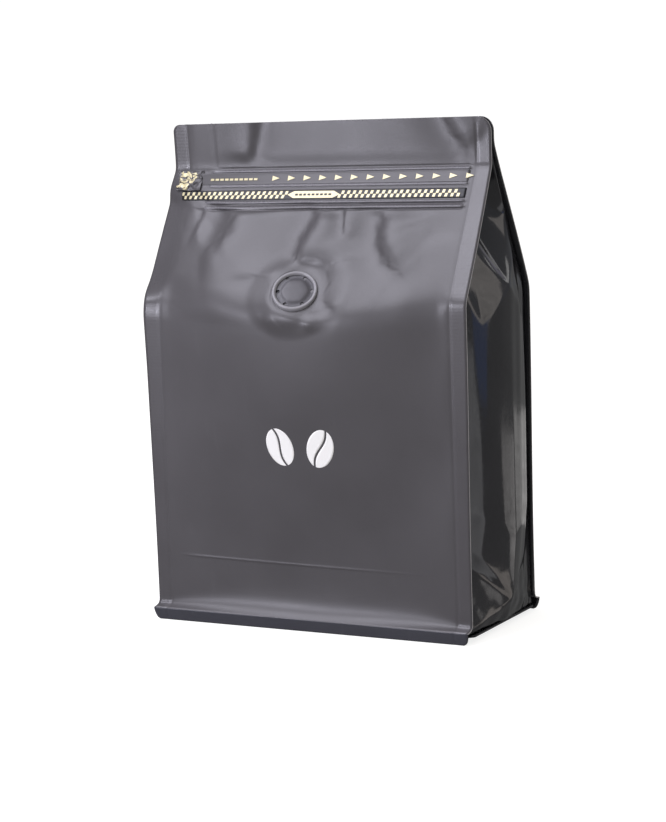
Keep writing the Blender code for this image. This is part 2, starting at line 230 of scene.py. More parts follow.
# The welts and grooves that run along the zip: the height, the width and the depth of each.
ZIP_WELTS = [(165.8, 0.42, -0.50), (160.6, 0.38, -0.35), (154.7, 0.36, -0.45), (152.8, 0.42, -0.55)]
ZIP_GROOVES = [(166.8, 0.45, 0.30), (159.6, 0.40, 0.20), (153.75, 0.35, 0.40), (151.9, 0.35, 0.35)]
ZIP_FROM, ZIP_TO = -49 * MM, 57.6 * MM


def soft_waves(x, z, seed, size, height):
    """Broad, shallow waves in a film, the same each time for a seed."""
    rng = np.random.default_rng(seed)
    total = np.zeros(np.shape(x))
    for _ in range(9):
        angle, phase = rng.uniform(0, math.pi), rng.uniform(0, math.tau)
        step = math.tau / (size * rng.uniform(0.6, 1.7))
        total = total + np.sin(step * (x * math.cos(angle) + z * math.sin(angle)) + phase)
    return height * total / 3.0


def filled_front(x, z):
    return panel_depth(x, z, FRONT_SHOULDER_Z, FRONT_HEADER_Z)


def front_depth(x, z):
    """The front film's shape as packed, with the flat that the valve is welded to."""
    across = (x - VALVE_X) / math.cos(VALVE_TURN)
    along = (z - VALVE_Z) / math.cos(VALVE_TILT)
    pad = 1 - ease(np.hypot(across, along), *VALVE_PAD)
    turned = math.tan(VALVE_TURN) * (x - VALVE_X)
    leaned = math.tan(VALVE_TILT) / math.cos(VALVE_TURN) * (z - VALVE_Z)
    plain = filled_front(x, z)
    pushed = filled_front(VALVE_X, VALVE_Z) - turned - leaned - plain
    return plain + pad * pushed / (1 + (pushed / PAD_PUSH) ** 4) ** 0.25


def inside_seals(x, z):
    """1 over the filled part of a panel and 0 over its side seals and skirt, which stay flat."""
    sides = 1 - ease(np.abs(x), SEAL_X - 4 * MM, SEAL_X)
    return sides * ease(z, CREASE_Z, CREASE_Z + 12 * MM)


def seal_step(x):
    """The step where a side seal begins: the film is pressed in along a narrow line."""
    return -0.16 * MM * bell(np.abs(x) - SEAL_X, 0.5 * MM)


def seal_turn(x, z):
    """The side seals twist back out of the front on its slope, the left one more than the right."""
    past = np.maximum(0.0, np.abs(x) - SEAL_X)
    return -past * np.where(x < 0, TWIST[0], TWIST[1]) * on_slope(z)


def front_face(x, z):
    """The depth of the front film's outer face, with everything that is pressed or folded into it."""
    relief = soft_waves(x, z, 3, 62 * MM, 0.22 * MM) * inside_seals(x, z)
    from_valve = np.hypot(x - VALVE_X, (z - VALVE_Z) / math.cos(VALVE_TILT))
    clear = ease(from_valve, VALVE_RADIUS - 1 * MM, VALVE_RADIUS + 9 * MM)
    for step in FRONT_STEPS:
        relief = relief + fold_step(x, z, *step) * clear
    for line in FRONT_FURROWS:
        relief = relief + furrow(x, z, *line)
    along_zip = ease(x, ZIP_FROM - 2 * MM, ZIP_FROM + 8 * MM) * (1 - ease(x, ZIP_TO - 0.4 * MM, ZIP_TO))
    for height, width, depth in ZIP_WELTS + ZIP_GROOVES:
        relief = relief - depth * MM * bell(z - height * MM, width * MM) * along_zip
    shape = front_depth(x, z) + relief + seal_step(x) + seal_turn(x, z)
    lean = HEADER_BACK - LEFT_FORWARD * (1 - ease(x, -42 * MM, -24 * MM))
    return shape - lean * ramp(z - FRONT_HEADER_Z - 2 * MM, 1.5 * MM)


BACK_FURROWS = [
    ([(-30, 150), (-22, 135), (-26, 122)], 5.0, 1.4, (0.2, 0.5)),
    ([(26, 152), (18, 138), (24, 126)], 4.0, 1.2, (0.2, 0.5)),
    ([(2, 150), (4, 138)], 3.0, 0.8, (0.3, 0.5)),
    ([(-50, 146), (-56, 132)], 3.0, 0.9, (0.3, 0.4)),
    ([(52, 148), (57, 134)], 3.0, 0.9, (0.3, 0.4)),
    ([(-56, 24.8), (54, 24.2)], 0.35, -0.16, (0.1, 0.1)),
    ([(20, 184), (22, 172)], 3.0, 0.5, (0.0, 0.4)),
]


def back_face(x, z):
    """The depth of the back film's outer face."""
    relief = soft_waves(x, z, 11, 55 * MM, 0.25 * MM) * inside_seals(x, z)
    for line in BACK_FURROWS:
        relief = relief + furrow(x, z, *line)
    shape = panel_depth(x, z, BACK_SHOULDER_Z, BACK_HEADER_Z) + relief + seal_step(x)
    shape = shape + HEADER_BACK * ramp(z - FRONT_HEADER_Z, 1.5 * MM)
    return np.maximum(shape, 2.4 * FILM - front_face(x, z))


# ---------------------------------------------------------------- the gussets' shape
SEAM_FOOT_X = 64.0 * MM
BACK_SEAM_X = 63.5 * MM  # the back seals fold round in line with the gussets, so these leave them further out
# The folds that fan out from a gusset's middle crease to its seams. Each is the crease's height and
# reach, the height where it meets the seams, and how full it is between them: 0 for a straight fold
# and 1 for a plump curve.
GUSSET_FOLDS = [
    (3.3, 65.5, 3.3, 0.0),
    (10.8, 68.2, 3.4, 0.0),
    (11.0, 68.2, 29.3, 0.2),
    (11.8, 68.5, 38.0, 0.9),
    (34.0, 70.4, 50.0, 1.0),
    (60.0, 70.4, 62.0, 1.0),
    (90.0, 70.4, 90.0, 1.0),
    (113.0, 70.4, 113.0, 1.0),
    (124.4, 70.3, 131.0, 0.0),
    (124.9, 70.0, 140.5, 0.0),
    (129.5, 66.6, 146.5, 0.0),
    (143.2, 57.5, 149.8, 0.0),
    (153.0, 50.5, 154.5, 0.0),
    (160.0, 43.5, 159.5, 0.0),
    (166.5, 36.0, 165.0, 0.0),
    (175.8, 58.5, 175.8, 0.0),
    (184.0, 58.8, 184.0, 0.0),
]


UPPER_FOLD = 8


def seam_x(z, back):
    """How far from the middle a gusset leaves the front or the back panel."""
    reach = np.where(back, np.minimum(BACK_SEAM_X, half_width(z) - 1.3 * MM), SEAL_X)
    return reach + (SEAM_FOOT_X - reach) * (1 - ease(z, 0.0, 14 * MM))


def flat_under_fold(away):
    """How far below the upper fold a gusset stays flat: a triangle that points down between its ends."""
    return 15.5 * MM * np.minimum(away / 0.58, (1 - away) / 0.42) + 0.6 * MM


def gusset_reach(share, z):
    """How far out a gusset stands, from share -1 on its front seam, past 0 on its crease, to 1 at the back."""
    folds = np.array(GUSSET_FOLDS)
    reach = np.empty(np.shape(z))
    for share_here in np.unique(share):
        crease_z, crease_x, seam_z, full = folds.T
        away = abs(share_here)
        bent = away * (1 - full) + (0.12 * away + 0.88 * away**2) * full
        heights = ((1 - away) * crease_z + away * seam_z) * MM
        heights[UPPER_FOLD - 1] = heights[UPPER_FOLD] - flat_under_fold(away)
        outs = (1 - bent) * crease_x * MM + bent * seam_x(seam_z * MM, share_here > 0)
        here = share == share_here
        reach[here] = np.interp(z[here], heights, outs)
    return reach


def soften(grid, rounds, across=True):
    """Rounds off a grid of values a little, leaving its outer edge alone."""
    for _ in range(rounds):
        middle = grid[1:-1, 1:-1]
        near = grid[:-2, 1:-1] + grid[2:, 1:-1]
        if across:
            near = near + grid[1:-1, :-2] + grid[1:-1, 2:]
            grid[1:-1, 1:-1] = 0.4 * middle + 0.15 * near
        else:
            grid[1:-1, 1:-1] = 0.4 * middle + 0.3 * near
    return grid


# ---------------------------------------------------------------- making meshes
def merged(*runs):
    return np.unique(np.round(np.concatenate([np.atleast_1d(run) for run in runs]), 7))


def spread(start, end, step):
    return np.linspace(start, end, max(2, int(math.ceil((end - start) / step)) + 1))


def grid_mesh(name, points, flip=False):
    """A sheet through a grid of points, given as an array of rows by columns by 3."""
    rows, columns = points.shape[:2]
    index = np.arange(rows * columns).reshape(rows, columns)
    quads = [index[:-1, :-1], index[:-1, 1:], index[1:, 1:], index[1:, :-1]]
    faces = np.stack([quad.ravel() for quad in quads], axis=1)
    if flip:
        faces = faces[:, ::-1]
    mesh = bpy.data.meshes.new(name)
    mesh.from_pydata(points.reshape(-1, 3).tolist(), [], faces.tolist())
    mesh.shade_smooth()
    obj = bpy.data.objects.new(name, mesh)
    bpy.context.scene.collection.objects.link(obj)
    return obj


def thicken(obj, thickness, rim_material=0, offset=-1.0):
    modifier = obj.modifiers.new("Film", "SOLIDIFY")
    modifier.thickness = thickness
    modifier.offset = offset
    modifier.material_offset_rim = rim_material
    return modifier


def piece(obj, materials, replaces=()):
    """Puts a finished piece on the bag: its place, its materials and what it stands for."""
    for material in materials:
        obj.data.materials.append(material)
    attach(obj, "root")
    if replaces:
        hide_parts(*replaces)
    return obj


def on_front(x, z, lift):
    """A point that lies lift above the front film."""
    x, z = np.asarray(x, float), np.asarray(z, float)
    return np.stack([x, -front_face(x, z) - lift, z], axis=-1)


def patches_on_front(name, outlines, lift, thickness):
    """Small flat shapes laid on the front film, each given by its outline of (x, z) points."""
    bm = bmesh.new()
    for outline in outlines:
        xs, zs = np.array(outline).T
        raised = lift(xs, zs) if callable(lift) else lift
        corners = [bm.verts.new(point) for point in on_front(xs, zs, raised)]
        bm.faces.new(corners)
    bmesh.ops.recalc_face_normals(bm, faces=bm.faces)
    for face in bm.faces:
        if face.normal.y > 0:
            face.normal_flip()
    mesh = bpy.data.meshes.new(name)
    bm.to_mesh(mesh)
    bm.free()
    obj = bpy.data.objects.new(name, mesh)
    bpy.context.scene.collection.objects.link(obj)
    thicken(obj, thickness, offset=1.0)
    return obj


# ---------------------------------------------------------------- materials
def new_group(name, inputs, outputs):
    """An empty shader group with named sockets, each given as (name, type, value)."""
    group = bpy.data.node_groups.new(name, "ShaderNodeTree")
    for label, kind, value in inputs:
        socket = group.interface.new_socket(name=label, in_out="INPUT", socket_type=kind)
        if value is not None:
            socket.default_value = value
    for label, kind in outputs:
        group.interface.new_socket(name=label, in_out="OUTPUT", socket_type=kind)
    return group


def add(tree, kind, inputs=None, **settings):
    """A node with its settings, and its inputs as values or as sockets to link from."""
    node = tree.nodes.new(kind)
    for name, value in settings.items():
        setattr(node, name, value)
    for name, value in (inputs or {}).items():
        socket = node.inputs[name]
        if isinstance(value, bpy.types.NodeSocket):
            tree.links.new(value, socket)
        else:
            socket.default_value = value
    return node


def remap(tree, value, low, high, to_low, to_high):
    """Maps a value from low..high to to_low..to_high, and clamps it there."""
    inputs = {"Value": value, "From Min": low, "From Max": high, "To Min": to_low, "To Max": to_high}
    return add(tree, "ShaderNodeMapRange", inputs, clamp=True).outputs["Result"]


def mix(tree, factor, a, b):
    """A colour between a and b."""
    node = add(tree, "ShaderNodeMix", data_type="RGBA")
    for name, value in (("Factor", factor), ("A", a), ("B", b)):
        socket = next(s for s in node.inputs if s.name == name and s.enabled)
        if isinstance(value, bpy.types.NodeSocket):
            tree.links.new(value, socket)
        else:
            socket.default_value = value
    return next(s for s in node.outputs if s.enabled)


def build_film_group():
    """Film that has been filled and handled: soft tone changes, a fine grain and a few light scuffs."""
    group = new_group(
        "handled_film",
        [
            ("Colour", "NodeSocketColor", (0.1, 0.1, 0.1, 1)),
            ("Pale Colour", "NodeSocketColor", (0.2, 0.2, 0.2, 1)),
            ("Scuffs", "NodeSocketFloat", 0.3),
            ("Roughness", "NodeSocketFloat", 0.45),
            ("Grain Size", "NodeSocketFloat", 2600.0),
        ],
        [
            ("Colour", "NodeSocketColor"),
            ("Roughness", "NodeSocketFloat"),
            ("Height", "NodeSocketFloat"),
        ],
    )
    into = add(group, "NodeGroupInput").outputs
    place = add(group, "ShaderNodeTexCoord").outputs["Object"]
    cloud = add(group, "ShaderNodeTexNoise", {"Vector": place, "Scale": 34.0, "Detail": 4.0})
    grain = add(group, "ShaderNodeTexNoise", {"Vector": place, "Scale": into["Grain Size"], "Detail": 2.0})
    stretched = add(group, "ShaderNodeMapping", {"Vector": place, "Scale": (1.0, 1.0, 0.22)})
    rubs = add(
        group,
        "ShaderNodeTexNoise",
        {"Vector": stretched.outputs["Vector"], "Scale": 210.0, "Detail": 6.0, "Roughness": 0.62},
    )
    scuffs = remap(group, rubs.outputs["Fac"], 0.60, 0.78, 0.0, 1.0)
    scuffs = add(group, "ShaderNodeMath", {0: scuffs, 1: into["Scuffs"]}, operation="MULTIPLY").outputs[0]
    tone = remap(group, cloud.outputs["Fac"], 0.3, 0.7, 0.0, 0.28)
    shade = add(group, "ShaderNodeMath", {0: tone, 1: scuffs}, operation="ADD").outputs[0]
    colour = mix(group, shade, into["Colour"], into["Pale Colour"])
    speckle = remap(group, grain.outputs["Fac"], 0.3, 0.7, -0.05, 0.05)
    uneven = remap(group, cloud.outputs["Fac"], 0.3, 0.7, -0.03, 0.03)
    rough = add(group, "ShaderNodeMath", {0: into["Roughness"], 1: speckle}, operation="ADD").outputs[0]
    rough = add(group, "ShaderNodeMath", {0: rough, 1: uneven}, operation="ADD").outputs[0]
    rubbed = add(group, "ShaderNodeMath", {0: scuffs, 1: 0.1}, operation="MULTIPLY").outputs[0]
    rough = add(group, "ShaderNodeMath", {0: rough, 1: rubbed}, operation="ADD").outputs[0]
    out = add(group, "NodeGroupOutput")
    group.links.new(colour, out.inputs["Colour"])
    group.links.new(rough, out.inputs["Roughness"])
    group.links.new(grain.outputs["Fac"], out.inputs["Height"])
    return group


def build_seal_group():
    """Where a film's side seals lie, and the fine ribs that the sealing bars press into them."""
    group = new_group(
        "pressed_seal",
        [("Seal From", "NodeSocketFloat", SEAL_X), ("Rib Scale", "NodeSocketFloat", 3200.0)],
        [("Mask", "NodeSocketFloat"), ("Ribs", "NodeSocketFloat")],
    )
    into = add(group, "NodeGroupInput").outputs
    place = add(group, "ShaderNodeTexCoord").outputs["Object"]
    axes = add(group, "ShaderNodeSeparateXYZ", {"Vector": place}).outputs
    aside = add(group, "ShaderNodeMath", {0: axes["X"]}, operation="ABSOLUTE").outputs[0]
    past = add(group, "ShaderNodeMath", {0: aside, 1: into["Seal From"]}, operation="SUBTRACT").outputs[0]
    mask = remap(group, past, -0.0002, 0.0002, 0.0, 1.0)
    wave = add(group, "ShaderNodeMath", {0: axes["Z"], 1: into["Rib Scale"]}, operation="MULTIPLY").outputs[0]
    ribs = add(group, "ShaderNodeMath", {0: wave}, operation="SINE").outputs[0]
    ribs = add(group, "ShaderNodeMath", {0: ribs, 1: mask}, operation="MULTIPLY").outputs[0]
    out = add(group, "NodeGroupOutput")
    group.links.new(mask, out.inputs["Mask"])
    group.links.new(ribs, out.inputs["Ribs"])
    return group


def new_material(name, view_colour):
    material = bpy.data.materials.new(name)
    material.use_nodes = True
    material.diffuse_color = (*view_colour, 1.0)
    tree = material.node_tree
    return material, tree, tree.nodes["Principled BSDF"]


def film_material(name, group, colour, pale, scuffs, roughness, grain, bump, **fixed):
    """A material whose colour, roughness and grain come from the handled-film group."""
    material, tree, shader = new_material(name, colour[:3])
    film = add(tree, "ShaderNodeGroup", node_tree=group)
    film.inputs["Colour"].default_value = colour
    film.inputs["Pale Colour"].default_value = pale
    film.inputs["Scuffs"].default_value = scuffs
    film.inputs["Roughness"].default_value = roughness
    film.inputs["Grain Size"].default_value = grain
    tree.links.new(film.outputs["Colour"], shader.inputs["Base Color"])
    tree.links.new(film.outputs["Roughness"], shader.inputs["Roughness"])
    raised = add(tree, "ShaderNodeBump", {"Height": film.outputs["Height"], "Strength": bump, "Distance": 0.00004})
    tree.links.new(raised.outputs["Normal"], shader.inputs["Normal"])
    for socket, value in fixed.items():
        shader.inputs[socket.replace("_", " ")].default_value = value
    return material, tree, shader, film, raised


def matte_film(group, seals):
    """The panels' matte charcoal laminate, smoother where the side seals press it flat, and lighter there with a
    painted sheen.
    """
    made = film_material(
        "matte_charcoal_film",
        group,
        (0.064, 0.0605, 0.0655, 1),
        (0.090, 0.086, 0.094, 1),
        0.22,
        0.43,
        2600.0,
        0.35,
        Specular_IOR_Level=0.74,
    )
    material, tree, shader, film, raised = made
    seal = add(tree, "ShaderNodeGroup", node_tree=seals)
    seal.inputs["Seal From"].default_value = SEAL_X
    seal.inputs["Rib Scale"].default_value = 5200.0
    # Painted sheen: the seals' colour is mixed a little towards a light grey, standing in for the highlight that
    # they catch.
    seal_sheen_tint = add(tree, "ShaderNodeMath", {0: seal.outputs["Mask"], 1: 0.03}, operation="MULTIPLY").outputs[0]
    colour = mix(tree, seal_sheen_tint, film.outputs["Colour"], (0.20, 0.195, 0.215, 1))
    tree.links.new(colour, shader.inputs["Base Color"])
    smoother = add(tree, "ShaderNodeMath", {0: seal.outputs["Mask"], 1: -0.09}, operation="MULTIPLY").outputs[0]
    rough = add(tree, "ShaderNodeMath", {0: film.outputs["Roughness"], 1: smoother}, operation="ADD").outputs[0]
    tree.links.new(rough, shader.inputs["Roughness"])
    ribbed = add(tree, "ShaderNodeBump", {"Height": seal.outputs["Ribs"], "Strength": 0.06, "Distance": 0.00005})
    tree.links.new(raised.outputs["Normal"], ribbed.inputs["Normal"])
    tree.links.new(ribbed.outputs["Normal"], shader.inputs["Normal"])
    return material


def build_materials():
    group, seals = build_film_group(), build_seal_group()
    made = {"matte": matte_film(group, seals)}
    made["gloss"] = film_material(
        "gloss_black_film",
        group,
        (0.016, 0.016, 0.019, 1),
        (0.028, 0.028, 0.033, 1),
        0.25,
        0.10,
        900.0,
        0.10,
        Specular_IOR_Level=1.0,
    )[0]
    # Painted highlight: the films' cut edges get a light grey colour that stands in for the bright line that light
    # draws along them.
    made["edge"] = film_material(
        "cut_edge_painted_highlight", group, (0.42, 0.41, 0.43, 1), (0.60, 0.59, 0.62, 1), 0.4, 0.40, 1800.0, 0.2
    )[0]
    # Painted shade: the hem's lip faces down and out, and its darker, bluer colour stands in for the shade it lies
    # in.
    made["hem"] = film_material(
        "hem_lip_painted_shade", group, (0.052, 0.053, 0.066, 1), (0.080, 0.081, 0.098, 1), 0.3, 0.36, 1800.0, 0.25
    )[0]
    made["gold"] = film_material(
        "gold_print",
        group,
        (0.64, 0.57, 0.34, 1),
        (0.84, 0.80, 0.60, 1),
        0.5,
        0.36,
        2200.0,
        0.3,
        Metallic=0.25,
    )[0]
    made["white"] = film_material(
        "white_print", group, (0.86, 0.86, 0.85, 1), (0.95, 0.95, 0.95, 1), 0.3, 0.45, 2200.0, 0.2
    )[0]
    # Painted highlight: the zip welts get a film far lighter than the panels, standing in for the bright lines
    # that light draws along them; their lower roughness is real.
    made["pressed"] = film_material(
        "zip_welt_painted_highlight", group, (0.150, 0.147, 0.163, 1), (0.200, 0.196, 0.214, 1), 0.2, 0.27, 2600.0, 0.15
    )[0]
    # Black print for the zip band and the lozenge bars; in the valve's holes the same black is painted shade.
    made["black"] = film_material(
        "black_print_and_hole_shade", group, (0.010, 0.010, 0.012, 1), (0.022, 0.021, 0.024, 1), 0.3, 0.42, 2200.0, 0.2
    )[0]
    made["rim"] = film_material(
        "pale_rim_moulding", group, (0.235, 0.232, 0.252, 1), (0.33, 0.325, 0.35, 1), 0.3, 0.34, 1500.0, 0.15
    )[0]
    made["valve"] = film_material(
        "charcoal_moulding", group, (0.082, 0.080, 0.090, 1), (0.13, 0.127, 0.14, 1), 0.4, 0.42, 1500.0, 0.2
    )[0]
    # Painted shade: the sunk ring between rim and boss gets a darker colour for the shade in its hollow.
    made["valve_dark"] = film_material(
        "sunk_groove_painted_shade", group, (0.070, 0.068, 0.078, 1), (0.10, 0.10, 0.11, 1), 0.3, 0.40, 1500.0, 0.15
    )[0]
    return made


# ---------------------------------------------------------------- the films
ZIP_ROWS = (151.0 * MM, 168.0 * MM)


def panel_rows():
    corner = HEIGHT - HEADER_RADII[1]
    angles = np.linspace(0, math.pi / 2, 9)
    return merged(
        spread(HEM_Z, LIP_Z, 0.5 * MM),
        spread(LIP_Z, 12 * MM, 0.4 * MM),
        spread(12 * MM, 22.6 * MM, 1.1 * MM),
        spread(22.6 * MM, 26.0 * MM, 0.3 * MM),
        spread(26.0 * MM, 100 * MM, 1.3 * MM),
        spread(100 * MM, 112 * MM, 0.9 * MM),
        spread(112 * MM, 136 * MM, 0.45 * MM),
        spread(136 * MM, ZIP_ROWS[0], 0.8 * MM),
        spread(*ZIP_ROWS, 0.15 * MM),
        spread(ZIP_ROWS[1], corner, 0.8 * MM),
        corner + HEADER_RADII[1] * np.sin(angles),
    )


def panel_columns():
    side = merged(spread(SEAL_X - 1.2 * MM, SEAL_X + 1.2 * MM, 0.4 * MM), spread(SEAL_X + 1.2 * MM, HALF_WIDTH, 1.1 * MM))
    between = merged(spread(-SEAL_X + 1.2 * MM, -13 * MM, 1.0 * MM), spread(-13 * MM, 13 * MM, 0.45 * MM))
    return merged(-side, between, -between, side)


def make_panel(name, face, front, node, materials):
    """A whole panel as one sheet: the filled part, both side seals, the header and the skirt."""
    z, x = np.meshgrid(panel_rows(), panel_columns(), indexing="ij")
    x = x * half_width(z, x > 0) / HALF_WIDTH
    y = -face(x, z) if front else face(x, z)
    panel = grid_mesh(name, np.stack([x, y, z], axis=-1), flip=not front)
    # The lip below LIP_Z takes layer 3, whose colour is painted shade.
    on_lip = (z[1:, 1:] + z[:-1, :-1]) / 2 < LIP_Z - 0.2 * MM
    panel.data.polygons.foreach_set("material_index", 3 * on_lip.astype(int).ravel())
    # Rim layer 2 is the cut edge, whose colour is a painted highlight.
    thicken(panel, FILM, rim_material=2).material_offset = 1
    return piece(panel, materials, [node])


def make_gusset(name, side, materials, replaces=()):
    """A side gusset: a glossy sheet between the panels, folded out at the foot and tucked in at the top."""
    rows = merged(
        spread(CREASE_Z, 34 * MM, 0.7 * MM),
        spread(34 * MM, 118 * MM, 1.2 * MM),
        spread(118 * MM, HEIGHT - 0.6 * MM, 0.7 * MM),
    )
    shares = np.linspace(-1, 1, 81)
    z, share = np.meshgrid(rows, shares, indexing="ij")
    reach = soften(gusset_reach(share, z), 1)
    back = share > 0
    skirt = skirt_out(SEAL_X, z)
    front_y = -(front_face(side * SEAL_X, z) - skirt - FILM - GAP)
    back_y = back_face(side * SEAL_X, z) - skirt - FILM - GAP
    middle = (front_y + back_y) / 2 * ease(z, 160 * MM, 172 * MM)  # the films come together in the header
    y = np.where(back, share * back_y, -share * front_y) + (1 - np.abs(share)) * middle
    free = ease(1 - np.abs(share), 0.0, 0.25)
    streaks = soft_waves(y, z * 0.10, 21 + int(side > 0), 11 * MM, 0.11 * MM)
    off_crease = ease(np.abs(share), 0.05, 0.30)
    crumple = soft_waves(y, z, 31, 13 * MM, 0.08 * MM) * ease(z, 122 * MM, 140 * MM) * off_crease
    dents = soft_waves(y, z, 37, 9 * MM, 0.10 * MM) * (1 - ease(z, 8 * MM, 30 * MM))
    x = side * (reach + (streaks + crumple + dents) * free)
    gusset = grid_mesh(name, np.stack([x, y, z], axis=-1), flip=side < 0)
    thicken(gusset, 0.3 * MM)
    return piece(gusset, materials, replaces)


# ---------------------------------------------------------------- the zip, its strip and its tab
STRIP_Z = (161.1 * MM, 165.3 * MM)
PRINT_LIFT = 0.15 * MM  # of the gold print off the tear strip
BAND_Z = (155.6 * MM, 159.0 * MM)
BAND_X = (-60.5 * MM, 57.4 * MM)
ARROWS = 13
ARROW_FROM, ARROW_TO = -22.4 * MM, 56.3 * MM
ARROW_SIZE = (3.0 * MM, 1.85 * MM)
LINK_STEP = 2.36 * MM
DASH, DASH_STEP, DASH_FROM, DASH_TO = 1.45 * MM, 2.05 * MM, -48.6 * MM, -29.0 * MM
LOZENGE_X = (-14.4 * MM, 7.4 * MM)


def strip_lift(x, z):
    """How far the tear strip stands off the front film: its upper edge leans out, most near the tab."""
    return 0.08 * MM + (0.10 + 0.12 * (1 - ease(x, -46 * MM, -8 * MM))) * (z - STRIP_Z[0])


def on_strip(x, z):
    return strip_lift(x, z) + PRINT_LIFT


def make_tear_strip(materials):
    """The strip that tears off: a band of film laid over the zip."""
    rows = spread(*STRIP_Z, 0.3 * MM)
    columns = spread(ZIP_FROM - 5 * MM, ZIP_TO - 0.3 * MM, 1.0 * MM)
    z, x = np.meshgrid(rows, columns, indexing="ij")
    strip = grid_mesh("tear_strip_film", on_front(x, z, strip_lift(x, z)))
    thicken(strip, 0.08 * MM)
    return piece(strip, materials, ["tear_strip"])


def arrow_outlines():
    """Small triangles in a row along the tear strip, all pointing away from the tab."""
    middle = sum(STRIP_Z) / 2
    length, height = ARROW_SIZE
    return [
        [(x, middle - height / 2), (x + length, middle), (x, middle + height / 2)]
        for x in np.linspace(ARROW_FROM, ARROW_TO, ARROWS)
    ]


def dash_outlines():
    """Short plain dashes between the tab and the arrows."""
    middle = sum(STRIP_Z) / 2 - 0.2 * MM
    low, high = middle - 0.36 * MM, middle + 0.36 * MM
    starts = np.arange(DASH_FROM, DASH_TO, DASH_STEP)
    return [[(x, low), (x + DASH, low), (x + DASH, high), (x, high)] for x in starts]


def link_outlines():
    """The two staggered rows of slanting links that make a gold cord along the zip."""
    low, high = BAND_Z[0] + 0.45 * MM, BAND_Z[1] - 0.45 * MM
    middle, slant, width = (low + high) / 2, 0.28 * MM, 1.08 * MM
    outlines = []
    for i in range(int((BAND_X[1] - BAND_X[0]) / LINK_STEP)):
        for shift, foot, top in ((0.0, middle + 0.06 * MM, high), (0.5, low, middle - 0.06 * MM)):
            at = BAND_X[0] + (i + shift) * LINK_STEP
            if LOZENGE_X[0] < at + 1.0 * MM < LOZENGE_X[1]:
                continue
            outlines.append([(at, foot), (at + width, foot), (at + width + slant, top), (at + slant, top)])
    return outlines


def lozenge_outlines():
    """A long gold lozenge in the middle of the cord, in thin slices that follow the film."""
    (left, right), half = LOZENGE_X, 1.22 * MM
    middle, tip = sum(BAND_Z) / 2, 2.6 * MM
    outlines = []
    xs = spread(left, right, 0.9 * MM)
    for a, b in zip(xs, xs[1:]):
        rise = [half * min(1.0, (x - left) / tip, (right - x) / tip) for x in (a, b)]
        corners = [(a, middle - rise[0]), (b, middle - rise[1]), (b, middle + rise[1]), (a, middle + rise[0])]
        outlines.append(list(dict.fromkeys(corners)))
    return outlines


def lozenge_bar_outlines():
    """The plain dark bars inside the lozenge."""
    middle = sum(BAND_Z) / 2
    low, high = middle - 0.34 * MM, middle + 0.34 * MM
    starts = np.arange(LOZENGE_X[0] + 3.2 * MM, LOZENGE_X[1] - 3.6 * MM, 1.75 * MM)
    return [[(x, low), (x + 1.2 * MM, low), (x + 1.2 * MM, high), (x, high)] for x in starts]


def make_zip_welts(materials):
    """The pressed welts along the zip, where the film is stretched smooth; their light colour is a painted
    highlight.
    """
    strips = []
    for height, width, _ in ZIP_WELTS:
        rows = spread((height - 1.1 * width) * MM, (height + 1.1 * width) * MM, 0.1 * MM)
        columns = spread(ZIP_FROM, ZIP_TO - 0.2 * MM, 1.0 * MM)
        z, x = np.meshgrid(rows, columns, indexing="ij")
        strips.append(grid_mesh("zip_welt", on_front(x, z, 0.04 * MM)))
    bm = bmesh.new()
    for strip in strips:
        bm.from_mesh(strip.data)
        bpy.data.objects.remove(strip, do_unlink=True)
    mesh = bpy.data.meshes.new("zip_welts")
    bm.to_mesh(mesh)
    bm.free()
    mesh.shade_smooth()
    welts = bpy.data.objects.new("zip_welts", mesh)
    bpy.context.scene.collection.objects.link(welts)
    thicken(welts, 0.03 * MM)
    return piece(welts, materials)


def make_zip_band(materials):
    """The zip's own band, a little proud of the film, that the gold cord is printed on."""
    rows = spread(*BAND_Z, 0.35 * MM)
    columns = spread(*BAND_X, 1.0 * MM)
    z, x = np.meshgrid(rows, columns, indexing="ij")
    middle = 1 - 2 * np.abs((z - BAND_Z[0]) / (BAND_Z[1] - BAND_Z[0]) - 0.5)
    band = grid_mesh("zip_band", on_front(x, z, 0.12 * MM + 0.12 * MM * ease(middle, 0.0, 0.35)))
    thicken(band, 0.1 * MM)
    return piece(band, materials, ["zip_rail"])


